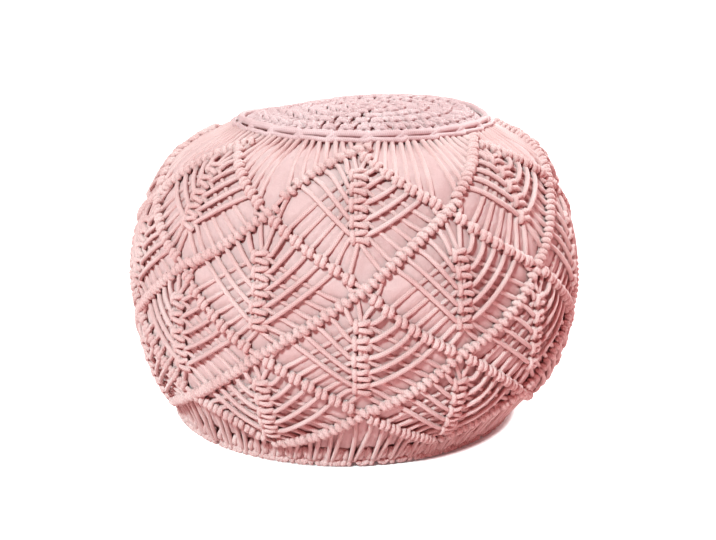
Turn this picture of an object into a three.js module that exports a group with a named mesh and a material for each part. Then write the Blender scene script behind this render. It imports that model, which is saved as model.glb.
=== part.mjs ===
// A round floor pouf: a filled cotton cushion in a knotted cord net, closed by a crocheted
// round on top. Millimetres, +Z up, standing on the floor at z = 0.
//
// Places on the pouf are given in three ways. "turn" is the angle in degrees round the pouf,
// from the front (-Y) towards +X. "down" is the distance in millimetres measured over the
// surface, from under the rim chain to the floor. "depth" is how far a point lies beneath
// the outermost surface, which is the crest of the knotted ridges.

import * as THREE from 'three'
import { mergeVertices } from 'three/addons/utils/BufferGeometryUtils.js'

// ---- driving dimensions -------------------------------------------------------------

const HEIGHT = 345          // floor to the top of the crown
const MIDDLE = 166          // height of the widest place, about which the pouf leans
const LEAN = 10             // sideways drift of the rim over the foot, half up and half down
const SAG = 18              // how far the shoulder would sink on its slack side at full reach
const SAG_TURN = 225        // the slack side, behind and to the left
const REACH = 250           // largest radius, at the ridges

// Outer form, through the crests of the ridges, from the top chain to the floor.
const OUTLINE = [
  { place: 'chain inside', radius: 126, height: 338 },
  { place: 'chain outside', radius: 150, height: 331 },
  { place: 'shoulder', radius: 201, height: 299 },
  { place: 'upper side', radius: 231, height: 249 },
  { place: 'over the middle', radius: 244.5, height: 208 },
  { place: 'middle', radius: REACH, height: 160 },
  { place: 'under the middle', radius: 246, height: 110 },
  { place: 'lower side', radius: 234, height: 66 },
  { place: 'heel', radius: 212, height: 26 },
  { place: 'floor', radius: 189, height: 0 },
]

const CORD = 5              // diameter of the net's cord
const CORD_DEPTH = 6        // the plain cords lie this deep under the ridges' crests
const NET_BACK = CORD_DEPTH + CORD
const COVER_DEPTH = 13.6    // the cushion's cover, clear of the net's flat facets
const CHAIN_BACK = 5        // underside of the rim chain, clear of the cords' facets

const DIAMONDS = 8          // diamonds round the pouf
const HALF = 180 / DIAMONDS // half the width of one diamond, in degrees of turn
const BAND = 67             // about as far from one level of crossings down to the next
const ROWS = 4              // rows of whole diamonds
const NET_START = 11        // the net's cords start under the rim chain
const NET_END_HEIGHT = 10.8 // and stop on the base ring

// Where the ridges cross: how far down each level is, how far it is turned to one side, and
// how much lower it hangs at the far left and far right. The front diamonds are a little wider.
const LEVELS = [
  { level: 0, down: 40, turned: -1.5, left: 22, right: 0 },
  { level: 1, down: 118, turned: 0.5, left: 13, right: -8 },
  { level: 2, down: 190, turned: 2.3, left: -8, right: 0 },
  { level: 3, down: 264, turned: 1.5, left: -6, right: -2 },
  { level: 4, down: 324, turned: 2.5, left: 14, right: 22 },
  { level: 5, down: 380, turned: 3, left: 0, right: 0 },
]
const SPREAD = 4            // degrees

// Steps across a diamond, from one ridge's crest to the next. The ridges are as wide as the
// first step on either side, and the bare corner lies between the fourth and fifth.
const STEPS = [0, 0.08, 0.33, 0.67, 0.92, 1]
const RIDGE_STEP = 1
const CORNER_STEP = 3
const KNOT_DEPTH = 1.5      // crest of the column of square knots
const KNOT_START_DEPTH = 4  // where the column begins, under the top crossing

// Sections of the straight cords, between a ridge and the end of the net.
const FAN_SECTIONS = [0, 0.34, 0.68, 1]
const FOOT_SECTIONS = [0, 0.16, 0.84, 1]
const RIDGE_FOOT = 2 * STEPS[RIDGE_STEP] // a ridge's half width, straight down

// Section of the rim chain: two strands side by side, over the surface and into it.
const CHAIN = [
  { down: 12.6, depth: CHAIN_BACK },
  { down: 0.6, depth: CHAIN_BACK },
  { down: 0.2, depth: 2.4 },
  { down: 4.6, depth: 0 },
  { down: 10, depth: 0.6 },
  { down: 12.6, depth: 3.4 },
  { down: 15.2, depth: 0.8 },
  { down: 20, depth: 0 },
  { down: 24.4, depth: 2.2 },
  { down: 24.8, depth: CHAIN_BACK },
]

const TOP_RADIUS = 125.2    // edge of the crocheted round, just inside the chain
const TOP_THICK = 9.5
const BASE_RADIUS = 175
const BASE_THICK = 5.6
const ROUND_SIDES = 40      // facets round the turned pieces

// Section of the ring of loops at the floor, outside the cushion's foot.
const BASE_RING_HEIGHT = 14.4
const BASE_RING = [
  { radius: BASE_RADIUS + 0.5, height: 0 },
  { radius: 189.5, height: 0 },
  { radius: 196.5, height: 4.5 },
  { radius: 202.5, height: BASE_RING_HEIGHT },
  { radius: 188, height: BASE_RING_HEIGHT },
  { radius: 181.5, height: 7.4 },
  { radius: BASE_RADIUS + 0.5, height: 4.6 },
]

// ---- the surface --------------------------------------------------------------------

const outline = new THREE.SplineCurve(OUTLINE.map(row => new THREE.Vector2(row.radius, row.height)))
const LENGTH = outline.getLength()

// Radius and height of a point this far down the surface, and this deep beneath it.
function section(down, depth) {
  const along = THREE.MathUtils.clamp(down / LENGTH, 0, 1)
  const point = outline.getPointAt(along)
  const way = outline.getTangentAt(along)
  return new THREE.Vector2(point.x + way.y * depth, point.y - way.x * depth)
}

// The crown of the top, which carries on from the inner edge of the chain.
function crownHeight(radius) {
  const edge = OUTLINE[0]
  return HEIGHT - (HEIGHT - edge.height) * (radius / edge.radius) ** 2
}

// The pouf isn't quite upright or even: it leans, and its shoulder sinks on one side.
function settle(x, y, z) {
  const rise = (z - MIDDLE) / MIDDLE
  const slack = THREE.MathUtils.degToRad(SAG_TURN)
  const towards = Math.max(0, (x * Math.sin(slack) - y * Math.cos(slack)) / REACH)
  const sink = SAG * Math.max(0, rise) ** 3 * towards ** 2
  return [x + LEAN * rise ** 3, y, z - sink]
}

function onSurface(turn, down, depth) {
  const point = section(down, depth)
  const angle = THREE.MathUtils.degToRad(turn)
  return settle(point.x * Math.sin(angle), -point.x * Math.cos(angle), point.y)
}

// The distance down to a given height, on the outermost surface.
function downTo(height) {
  let [above, below] = [0, LENGTH]
  for (let i = 0; i < 40; i++) {
    const half = (above + below) / 2
    if (section(half, 0).y > height) above = half
    else below = half
  }
  return below
}

const START_LEVEL = (NET_START - LEVELS[0].down) / BAND
const END_LEVEL = ROWS + 1 + (downTo(NET_END_HEIGHT) - LEVELS[ROWS + 1].down) / BAND

// A place in the lattice, with its unevenness, as a turn and a distance down.
function latticePlace(turn, level) {
  const inside = THREE.MathUtils.clamp(level, 0, ROWS + 1)
  const row = Math.min(Math.floor(inside), ROWS)
  const between = what => THREE.MathUtils.lerp(LEVELS[row][what], LEVELS[row + 1][what], inside - row)
  const ends = THREE.MathUtils.smoothstep(level, START_LEVEL, 0.5)
    * (1 - THREE.MathUtils.smoothstep(level, ROWS + 0.5, END_LEVEL))
  const across = Math.sin(THREE.MathUtils.degToRad(turn))
  const hang = between(across < 0 ? 'left' : 'right')
  return {
    turn: turn + between('turned') + SPREAD * across,
    down: between('down') + (level - inside) * BAND + hang * across ** 2 * ends,
  }
}

// ---- making a closed mesh -----------------------------------------------------------

function solid(positions, triangles) {
  const geometry = new THREE.BufferGeometry()
  geometry.setAttribute('position', new THREE.Float32BufferAttribute(positions, 3))
  geometry.setIndex(triangles)
  return geometry
}

// A turned piece: a closed section of radius and height, swept round the pouf.
function turned(rows) {
  const profile = rows.map(row => new THREE.Vector2(row.x, row.y))
  const lathe = new THREE.LatheGeometry(profile, ROUND_SIDES)
  lathe.rotateX(Math.PI / 2)
  lathe.deleteAttribute('normal')
  lathe.deleteAttribute('uv')
  const place = lathe.attributes.position
  for (let i = 0; i < place.count; i++) {
    place.setXYZ(i, ...settle(place.getX(i), place.getY(i), place.getZ(i)))
  }
  return mergeVertices(lathe, 0.001)
}

// A piece of even thickness from tiles laid edge to edge over the surface. Each tile is four
// corners, top, left, bottom and right, or in that order round a strip. Edges that belong to
// one tile alone, at the ends and round the openings, get a wall.
class Sheet {
  constructor(backDepth) {
    this.backDepth = backDepth
    this.corners = new Map()
    this.tiles = []
  }

  corner({ turn, level, depth }) {
    const round = ((turn % 360) + 360) % 360
    const key = `${round.toFixed(3) % 360},${level.toFixed(4)}`
    if (!this.corners.has(key)) {
      this.corners.set(key, { index: this.corners.size, turn: round, level, depth })
    }
    return this.corners.get(key).index
  }

  tile(...corners) {
    this.tiles.push(corners.map(corner => this.corner(corner)))
  }

  geometry() {
    const front = []
    const back = []
    for (const { turn, level, depth } of this.corners.values()) {
      const place = latticePlace(turn, level)
      front.push(...onSurface(place.turn, place.down, depth))
      back.push(...onSurface(place.turn, place.down, this.backDepth))
    }
    const count = this.corners.size
    const triangles = []
    const edges = new Set()
    for (const tile of this.tiles) {
      for (let i = 2; i < tile.length; i++) {
        triangles.push(tile[0], tile[i - 1], tile[i])
        triangles.push(tile[0] + count, tile[i] + count, tile[i - 1] + count)
      }
      tile.forEach((from, i) => edges.add(`${from},${tile[(i + 1) % tile.length]}`))
    }
    for (const edge of edges) {
      const [from, to] = edge.split(',').map(Number)
      if (edges.has(`${to},${from}`)) continue
      triangles.push(from, from + count, to + count, from, to + count, to)
    }
    return solid([...front, ...back], triangles)
  }
}

// ---- the pieces ---------------------------------------------------------------------

// The net. Within a diamond, "left" and "right" are the steps taken from its top crossing
// along its two upper ridges.
function net() {
  const sheet = new Sheet(NET_BACK)
  const last = STEPS.length - 1

  function diamondCorner(centre, topLevel, left, right) {
    const onRidge = left % last === 0 || right % last === 0
    const onColumn = left === right && left < CORNER_STEP + 1
    let depth = CORD_DEPTH
    if (onColumn) depth = left === RIDGE_STEP ? KNOT_START_DEPTH : KNOT_DEPTH
    if (onRidge) depth = 0
    return {
      turn: centre + HALF * (STEPS[right] - STEPS[left]),
      level: topLevel + STEPS[left] + STEPS[right],
      depth,
    }
  }

  for (let row = 0; row < ROWS; row++) {
    for (let i = 0; i < DIAMONDS; i++) {
      const centre = HALF * (2 * i + row % 2)
      for (let left = 0; left < last; left++) {
        for (let right = 0; right < last; right++) {
          const bareCorner = (left === CORNER_STEP && right === RIDGE_STEP)
            || (left === RIDGE_STEP && right === CORNER_STEP)
          if (bareCorner) continue
          sheet.tile(
            diamondCorner(centre, row, left, right),
            diamondCorner(centre, row, left + 1, right),
            diamondCorner(centre, row, left + 1, right + 1),
            diamondCorner(centre, row, left, right + 1),
          )
        }
      }
    }
  }

  // Straight cords: the fan above the first ridges, and those below the last.
  function strip(turnLeft, turnRight, levelsLeft, levelsRight, depths, bare) {
    for (let j = 0; j + 1 < depths.length; j++) {
      if (j === bare) continue
      const at = (turn, levels, k) => ({ turn, level: levels[k], depth: depths[k] })
      sheet.tile(
        at(turnLeft, levelsLeft, j),
        at(turnLeft, levelsLeft, j + 1),
        at(turnRight, levelsRight, j + 1),
        at(turnRight, levelsRight, j),
      )
    }
  }
  const fanLevels = crest => {
    const foot = crest - RIDGE_FOOT
    return [...FAN_SECTIONS.map(share => START_LEVEL + share * (foot - START_LEVEL)), crest]
  }
  const footLevels = crest => {
    const foot = Math.min(crest + RIDGE_FOOT, (crest + END_LEVEL) / 2)
    return [crest, ...FOOT_SECTIONS.map(share => foot + share * (END_LEVEL - foot))]
  }
  const fanDepths = [...FAN_SECTIONS.map(() => CORD_DEPTH), 0]
  const footDepths = [0, ...FOOT_SECTIONS.map(() => CORD_DEPTH)]
  const NO_OPENING = -1
  const FOOT_OPENING = 2

  for (let i = 0; i < DIAMONDS; i++) {
    const centre = 2 * HALF * i
    for (let j = 0; j < last; j++) {
      const [near, far] = [STEPS[j], STEPS[j + 1]]
      const opening = j === RIDGE_STEP || j === RIDGE_STEP + 1 ? FOOT_OPENING : NO_OPENING
      const [nearLeft, farLeft] = [centre - HALF * near, centre - HALF * far]
      const [nearRight, farRight] = [centre + HALF * near, centre + HALF * far]
      strip(farLeft, nearLeft, fanLevels(far), fanLevels(near), fanDepths, NO_OPENING)
      strip(nearRight, farRight, fanLevels(near), fanLevels(far), fanDepths, NO_OPENING)
      strip(farLeft, nearLeft, footLevels(ROWS + far), footLevels(ROWS + near), footDepths, opening)
      strip(nearRight, farRight, footLevels(ROWS + near), footLevels(ROWS + far), footDepths, opening)
    }
  }
  return sheet.geometry()
}

// The filled cushion: crowned top, full side, and a flat foot.
function cushion() {
  const CROWN_STEPS = 3
  const SIDE_STEPS = 12
  const crownEdge = 118
  const floor = BASE_THICK + 0.6
  const rows = []
  for (let i = 0; i <= CROWN_STEPS; i++) {
    const radius = crownEdge * i / CROWN_STEPS
    rows.push(new THREE.Vector2(radius, crownHeight(radius) - TOP_THICK - 1))
  }
  const sideStart = 8
  const sideEnd = downTo(4)
  for (let i = 0; i <= SIDE_STEPS; i++) {
    const down = sideStart + (sideEnd - sideStart) * i / SIDE_STEPS
    rows.push(section(down, COVER_DEPTH))
  }
  rows.push(new THREE.Vector2(BASE_RADIUS, floor), new THREE.Vector2(0, floor))
  return turned(rows.reverse())
}

function rimChain() {
  const rows = CHAIN.map(row => section(row.down, row.depth))
  return turned([...rows, rows[0]].reverse())
}

function topRound() {
  const RINGS = 4
  const rows = []
  for (let i = 0; i <= RINGS; i++) {
    const radius = TOP_RADIUS * i / RINGS
    rows.push(new THREE.Vector2(radius, crownHeight(radius)))
  }
  for (let i = 2; i >= 0; i--) {
    const radius = TOP_RADIUS * i / 2
    rows.push(new THREE.Vector2(radius, crownHeight(radius) - TOP_THICK))
  }
  return turned(rows.reverse())
}

function baseRing() {
  const rows = BASE_RING.map(row => new THREE.Vector2(row.radius, row.height))
  return turned([...rows, rows[0]])
}

function basePanel() {
  return turned([
    new THREE.Vector2(0, 0),
    new THREE.Vector2(BASE_RADIUS, 0),
    new THREE.Vector2(BASE_RADIUS, BASE_THICK - 1),
    new THREE.Vector2(BASE_RADIUS - 2, BASE_THICK),
    new THREE.Vector2(0, BASE_THICK),
  ])
}

// ---- the pouf -----------------------------------------------------------------------

const cordCotton = () => new THREE.MeshStandardMaterial({ color: 0xe9bebc, roughness: 0.92, metalness: 0 })
const coverCotton = () => new THREE.MeshStandardMaterial({ color: 0xe3abaa, roughness: 0.95, metalness: 0 })

const pouf = new THREE.Group()
function add(name, geometry, material) {
  const mesh = new THREE.Mesh(geometry, material)
  mesh.name = name
  pouf.add(mesh)
}

add('cushion', cushion(), coverCotton())
add('net', net(), cordCotton())
add('rim_chain', rimChain(), cordCotton())
add('top_round', topRound(), cordCotton())
add('base_ring', baseRing(), cordCotton())
add('base_panel', basePanel(), coverCotton())

export default pouf
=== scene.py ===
# %% [markdown]
# # A macramé floor pouf
#
# The real pouf is a round filled cushion in a plain cotton cover. A net of soft cotton cord is
# knotted round it by hand: cords fan out from under a chain, cross in a lattice of knotted
# ridges, and run through a column of square knots inside each diamond. A knotted round closes
# the top, and the cords are looped together at the floor.
#
# Every cord is drawn on a map of the pouf's surface and then wrapped onto it. That keeps the
# knots readable as flat drawings a few millimetres across, whatever the surface does.

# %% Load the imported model
import math
import random

import bmesh
import bpy
import numpy as np
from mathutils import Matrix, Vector
from mathutils.kdtree import KDTree


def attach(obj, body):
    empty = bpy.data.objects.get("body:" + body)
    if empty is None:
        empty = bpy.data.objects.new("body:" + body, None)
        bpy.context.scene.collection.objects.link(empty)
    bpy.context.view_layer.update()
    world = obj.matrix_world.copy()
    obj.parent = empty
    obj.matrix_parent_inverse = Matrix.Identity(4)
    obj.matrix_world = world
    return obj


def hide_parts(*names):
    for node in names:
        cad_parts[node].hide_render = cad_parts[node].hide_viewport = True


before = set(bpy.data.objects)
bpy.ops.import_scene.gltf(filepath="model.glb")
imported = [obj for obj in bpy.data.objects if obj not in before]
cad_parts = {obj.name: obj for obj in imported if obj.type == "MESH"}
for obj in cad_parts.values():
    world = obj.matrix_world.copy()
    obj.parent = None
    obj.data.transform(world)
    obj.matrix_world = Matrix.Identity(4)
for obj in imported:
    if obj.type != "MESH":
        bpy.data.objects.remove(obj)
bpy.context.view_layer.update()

MM = 0.001
HEIGHT = 345 * MM
SCENE = bpy.context.scene

# %% [markdown]
# ## A map of the surface
#
# A place on the pouf has three numbers. "turn" is the angle in degrees round it, from the front
# towards the right. "down" is the distance over the surface, from the edge of the top round to
# the floor, and it is negative on the top round itself. "lift" is the height above the
# cushion's cover. The outline is a smooth curve through a few radii and heights. They are the
# solids' own, except at the foot, where the loops of cord draw in a few millimetres more.

# %% The outline, as a table of places down the surface
OUTLINE = [
    # radius and height in mm: chain inside, chain outside, shoulder, upper side, over the middle
    (126, 338), (150, 331), (201, 299), (231, 249), (244.5, 208),
    # middle, under the middle, lower side, heel, floor
    (250, 160), (246, 110), (234, 66), (211.5, 28), (182.5, 0),
]
TOP_EDGE = OUTLINE[0][0] * MM
LINE_STEPS = 60        # fine steps over the crown, along each span of the side, and underneath
CORNER_ROUNDING = 30   # how often neighbouring outward directions are averaged


def smooth_line(points, per_span):
    """A Catmull-Rom curve through the points, with so many steps between each two."""
    p = np.asarray(points, float)
    p = np.vstack([2 * p[:1] - p[1:2], p, 2 * p[-1:] - p[-2:-1]])
    t = np.linspace(0, 1, per_span, endpoint=False)[:, None]
    spans = []
    for a, b, c, d in zip(p[:-3], p[1:-2], p[2:-1], p[3:]):
        spans.append(0.5 * (2 * b + (c - a) * t + (2 * a - 5 * b + 4 * c - d) * t**2
                            + (3 * b - a - 3 * c + d) * t**3))
    return np.vstack(spans + [p[-2:-1]])


def outline_table():
    """Rows of down, radius, height and the outward direction, from the top's centre to the floor's."""
    edge = np.array(OUTLINE[0]) * MM
    crown = np.linspace(0, edge[0], LINE_STEPS, endpoint=False)
    top = np.stack([crown, HEIGHT - (HEIGHT - edge[1]) * (crown / edge[0]) ** 4], 1)
    side = smooth_line(np.array(OUTLINE) * MM, LINE_STEPS)
    foot = np.linspace(side[-1, 0], 0, LINE_STEPS)[1:]
    path = np.vstack([top, side, np.stack([foot, 0 * foot], 1)])
    down = np.concatenate([[0], np.cumsum(np.linalg.norm(np.diff(path, axis=0), axis=1))])
    down -= down[len(top)]
    way = np.gradient(path, down, axis=0)
    for _ in range(CORNER_ROUNDING):  # round the corner at the top's edge, and the one at the floor
        way[1:-1] = (way[:-2] + 2 * way[1:-1] + way[2:]) / 4
    way /= np.linalg.norm(way, axis=1)[:, None]
    return down, path[:, 0], path[:, 1], -way[:, 1], way[:, 0], down[len(top) + len(side) - 1]


DOWN, RADIUS, RISE, OUT_R, OUT_Z, FLOOR = outline_table()
print(f"the side measures {FLOOR / MM:.0f} mm from the top round to the floor")

# %% From the map to the pouf
RIDGE_DEPTH = 11 * MM  # the outline runs over the ridges, which stand this high over the cover
REACH = 250 * MM       # the widest radius
MIDDLE = 166 * MM      # the height about which the pouf leans
LEAN = 10 * MM
FOOT_SHIFT = 4 * MM    # how far the foot stands to the left, on top of the lean
FOOT_HIGH = 50 * MM    # the height at which that shift has faded out
SAG = 18 * MM          # how far the shoulder sinks at the back on the left
SAG_TURN = math.radians(225)
DIPS = [(-92, 92, 45, 5), (158, 12, 34, 4.5)]  # hollows by the top's edge: x, y, width, depth in mm


def settle(points):
    """The pouf leans a little, its shoulder sinks on one side, and its top has two soft hollows."""
    rise = (points[:, 2] - MIDDLE) / MIDDLE
    towards = points[:, 0] * math.sin(SAG_TURN) - points[:, 1] * math.cos(SAG_TURN)
    towards = np.maximum(0, towards / REACH)
    moved = points.copy()
    moved[:, 0] += LEAN * rise**3 - FOOT_SHIFT * np.clip(1 - points[:, 2] / FOOT_HIGH, 0, 1)
    moved[:, 2] -= SAG * np.maximum(0, rise) ** 3 * towards**2
    for x, y, width, deep in DIPS:
        away = np.hypot(points[:, 0] - x * MM, points[:, 1] - y * MM) / (width * MM)
        moved[:, 2] -= deep * MM * np.maximum(0, rise) ** 3 * np.exp(-away**2 / 2)
    return moved


def off_cover(down, lift):
    """The radius and height of places so far down, and so far off the cover."""
    depth = RIDGE_DEPTH - lift
    return (np.interp(down, DOWN, RADIUS) - np.interp(down, DOWN, OUT_R) * depth,
            np.interp(down, DOWN, RISE) - np.interp(down, DOWN, OUT_Z) * depth)


def around(turn, radius, height):
    """Places by their angle, radius and height, as points on the pouf."""
    angle = np.radians(turn)
    return settle(np.stack([radius * np.sin(angle), -radius * np.cos(angle), height], 1))


def wrap(route):
    """Rows of turn, down and lift as points on the pouf."""
    turn, down, lift = np.asarray(route, float).T
    return around(turn, *off_cover(down, lift))


def radius_at(down):
    return float(np.interp(down, DOWN, RADIUS))


def beside(place, right, below):
    """The place so many millimetres to the right of another, and further down."""
    turn, down = place
    return turn + math.degrees(right * MM / radius_at(down)), down + below * MM


def between(a, b, share):
    return a[0] + (b[0] - a[0]) * share, a[1] + (b[1] - a[1]) * share


front, = wrap([(0, FLOOR / 2, 0)])
print("halfway down the front, the cover is at", [round(c, 3) for c in front.tolist()])

# %% The maker's hand
chance = random.Random(14)


def wobble(size):
    """A small unevenness, up to so much either way."""
    return chance.uniform(-size, size)


# %% [markdown]
# ## The camera
#
# The pouf is seen from a little above, and from far enough away that its sides hardly splay.
# The camera goes in first, so that every piece can be looked at as it is made.

# %% The camera
LENS = 67.1  # mm
CAMERA_SHIFT = (0.0053, -0.0120)
CAMERA_TILT = math.radians(15.47)
CAMERA_AWAY = 1.5  # metres


def link(name, data):
    """An object at the origin that shows the data, which may be a mesh, a curve, a camera or a light."""
    piece = bpy.data.objects.new(name, data)
    SCENE.collection.objects.link(piece)
    return piece


def make_camera():
    data = bpy.data.cameras.new("camera")
    data.sensor_width = 36
    data.lens = LENS
    data.clip_end = 20
    data.shift_x, data.shift_y = CAMERA_SHIFT
    camera = link("camera", data)
    aim = Vector((0, 0, MIDDLE))
    camera.location = aim + CAMERA_AWAY * Vector((0, -math.cos(CAMERA_TILT), math.sin(CAMERA_TILT)))
    camera.rotation_euler = (aim - camera.location).to_track_quat("-Z", "Y").to_euler()
    SCENE.camera = camera
    return camera


camera = make_camera()
print("camera at", [round(c, 2) for c in camera.location])

# %% [markdown]
# ## Cord
#
# The cord is a soft cotton one, 5 mm thick. A curve with a round bevel is the simplest way to
# make it: Blender sweeps the circle along the line, so the script only says where the cord
# runs. Hundreds of short stretches are laid as the splines of one curve, which becomes one
# mesh. The bevel's own texture map runs from 0 to 1 along each stretch, so it is stretched to
# real metres here, and the braid of the cord keeps its scale.

# %% Cord from routes
CORD = 5.0  # mm
MAP_STEP = 0.37  # metres by which the map starts further on with each stretch, so that no two match


def triangles(mesh):
    return sum(len(face.vertices) - 2 for face in mesh.polygons)


def read(collection, name, wide=3, kind=float):
    """A row of so many numbers for each element of a mesh."""
    flat = np.empty(wide * len(collection), kind)
    collection.foreach_get(name, flat)
    return flat.reshape(-1, wide)


def scale_cord_map(mesh, routes, sides, girth):
    """Let the texture map run in metres, along each stretch and round it."""
    caps = 2 * sides * len(routes)
    along = np.concatenate([
        np.concatenate([[0], np.cumsum(np.linalg.norm(np.diff(route, axis=0), axis=1))]) + start
        for start, route in zip(np.arange(len(routes)) * MAP_STEP, routes)
    ])
    corner = read(mesh.loops, "vertex_index", 1, np.int32)[:, 0]
    uv = read(mesh.uv_layers[0].data, "uv", 2, np.float32)
    tube = corner >= caps
    uv[tube, 0] = along[(corner[tube] - caps) // sides]
    uv[~tube, 0] = 0
    uv[:, 1] *= girth
    mesh.uv_layers[0].data.foreach_set("uv", uv.ravel())


def final_mesh(piece):
    """What Blender makes of a curve, or of a mesh with modifiers."""
    bpy.context.view_layer.update()
    return bpy.data.meshes.new_from_object(piece.evaluated_get(bpy.context.evaluated_depsgraph_get()))


def cord_piece(name, routes, thick=CORD, sides=8, fullness=None):
    """One mesh of round cord, thick mm across, along each route of points.

    fullness says how full the cord is at even steps along every route, 1 being its own thickness.
    """
    curve = bpy.data.curves.new(name, "CURVE")
    curve.dimensions = "3D"
    curve.bevel_depth = thick * MM / 2
    curve.bevel_resolution = (sides - 4) // 2
    curve.use_fill_caps = True
    for route in routes:
        spline = curve.splines.new("POLY")
        spline.points.add(len(route) - 1)
        spline.points.foreach_set("co", np.insert(route, 3, 1, axis=1).astype(np.float32).ravel())
        if fullness:
            steps = np.linspace(0, len(fullness) - 1, len(route))
            spline.points.foreach_set("radius", np.interp(steps, range(len(fullness)), fullness))
        spline.use_smooth = True
    laid_curve = link(name + "_route", curve)
    mesh = final_mesh(laid_curve)
    mesh.name = name
    bpy.data.objects.remove(laid_curve)
    bpy.data.curves.remove(curve)
    scale_cord_map(mesh, routes, sides, math.pi * thick * MM)
    shape = bmesh.new()
    shape.from_mesh(mesh)
    bmesh.ops.remove_doubles(shape, verts=shape.verts, dist=1e-7)  # close the ends
    shape.to_mesh(mesh)
    shape.free()
    print(f"{name}: {len(routes)} stretches, {triangles(mesh)} triangles")
    return link(name, mesh)


def laid(points, per_span=4):
    """A smooth route through places that each have a lift in millimetres, on the pouf."""
    return wrap(smooth_line([(turn, down, lift * MM) for turn, down, lift in points], per_span))


def sketch(place, points, tilt=0):
    """Places of a drawing in mm (right, below, lift) round one place, turned clockwise by tilt."""
    c, s = math.cos(math.radians(tilt)), math.sin(math.radians(tilt))
    return [(*beside(place, x * c - y * s, x * s + y * c), lift) for x, y, lift in points]


# %% [markdown]
# ## The lattice of ridges
#
# Ridges of double half hitches run down to the left and down to the right, and cross at six
# levels. Each level has its own place and turns a little, as it does in work knotted by hand.
# The cords follow from it: seven hitches on each side of a diamond, and one at each crossing.

# %% The lattice
DIAMONDS = 8
HALF = 180 / DIAMONDS  # degrees
ROWS = 4
HITCHES = 7  # on each side of a diamond
LEVEL_DOWN = np.array([36, 118, 190, 264, 324, 380]) * MM
LEVEL_TURNED = [-1.5, 0.5, 2.3, 1.5, 2.5, 3]  # degrees
LEFT_DROP = np.array([22, 13, -8, -6, 14, 0]) * MM  # how much lower each level hangs at the left
RIGHT_DROP = np.array([-10, -8, 0, -2, 22, 0]) * MM
SPREAD = 4  # degrees, by which the front diamonds are wider
BAND = 67 * MM  # a whole level's height, above the first one and below the last
START_LEVEL = (11 * MM - LEVEL_DOWN[0]) / BAND  # where the net comes out from under the chain
END_LEVEL = 5.25


def smoothstep(x, low, high):
    t = min(1, max(0, (x - low) / (high - low)))
    return t * t * (3 - 2 * t)


def lattice(turn, level):
    inside = min(ROWS + 1, max(0, level))
    rows = np.arange(ROWS + 2)
    ends = smoothstep(level, START_LEVEL, 0.5) * (1 - smoothstep(level, ROWS + 0.5, END_LEVEL))
    across = math.sin(math.radians(turn))
    dropped = np.interp(inside, rows, LEFT_DROP if across < 0 else RIGHT_DROP) * across**2 * ends
    return (turn + float(np.interp(inside, rows, LEVEL_TURNED)) + SPREAD * across,
            float(np.interp(inside, rows, LEVEL_DOWN)) + (level - inside) * BAND + dropped)


PLAIN_SAG = 2  # mm, at the middle of a ridge
# how far each ridge on the front sags instead, by its upper crossing and its side
RIDGE_SAGS = {
    (0, 0, -1): -14, (0, 0, 1): 6, (45, 0, -1): -3,
    (22.5, 1, -1): -2, (22.5, 1, 1): 5, (337.5, 1, 1): 0, (337.5, 1, -1): 7,
    (0, 2, 1): 7, (0, 2, -1): 1, (315, 2, 1): 6, (45, 2, -1): 8,
    (337.5, 3, 1): -1, (337.5, 3, -1): 4, (22.5, 3, -1): 5, (22.5, 3, 1): 0,
    (45, 4, -1): -4, (0, 4, 1): 5, (0, 4, -1): 8, (315, 4, 1): -7,
}


def ridge_place(turn, level, side, share):
    """A place on the ridge that goes down from a crossing, to the left (-1) or right (1)."""
    right, down = between(lattice(turn, level), lattice(turn + side * HALF, level + 1), share)
    sag = RIDGE_SAGS.get((turn % 360, level, side), PLAIN_SAG) * MM
    return right, down + sag * 4 * share * (1 - share)


HITCH_BEFORE = {1: 0.15, -1: 0.44}  # how much sooner than even steps the hitches come, by side


def hitch_place(turn, level, side, n):
    """Where a ridge's nth hitch sits, the first one next to the upper crossing."""
    return ridge_place(turn, level, side, (n - HITCH_BEFORE[side]) / (HITCHES + 1))


def ridge_tilt(turn, level, side):
    """The ridge's slope in degrees, clockwise."""
    upper, lower = lattice(turn, level), lattice(turn + side * HALF, level + 1)
    right = math.radians(lower[0] - upper[0]) * radius_at((upper[1] + lower[1]) / 2)
    return math.degrees(math.atan((lower[1] - upper[1]) / right))


CROSSINGS = [(HALF * (2 * i + level % 2), level) for level in range(ROWS + 2) for i in range(DIAMONDS)]
RIDGES = [(turn, level, side) for turn, level in CROSSINGS if level <= ROWS for side in (-1, 1)]
DIAMOND_TOPS = CROSSINGS[:ROWS * DIAMONDS]
print(f"{len(CROSSINGS)} crossings and {len(RIDGES)} ridges")

# %% [markdown]
# ## A double half hitch
#
# A hanging cord is wound twice round the ridge's leading cord, so that it shows as two short
# bars side by side. As a line that is a helix of two turns. It moves on mostly behind the
# leader, which keeps the bars in front nearly parallel.

# %% Two turns round the leader
LEADER_LIFT = 5.2
HITCH_CORD = 6.2  # the cord spreads a little where it is wound tight
HITCH_DEEP, HITCH_HIGH = 3.2, 3.0  # mm from the leader's middle to the winding cord's
HITCH_STEPS = 15
# by the ridge's side: share of the ridge's slope, slant of the bars, its wobble, and bars apart
BARS = {1: (0.75, 1.2, 0.8, 6.0), -1: (0.9, 1.7, 0.7, 7.9)}
CROSSING_TILT = -34
CROSSING_AT = (5.5, -3.8)  # to the right of the crossing and further down


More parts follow.
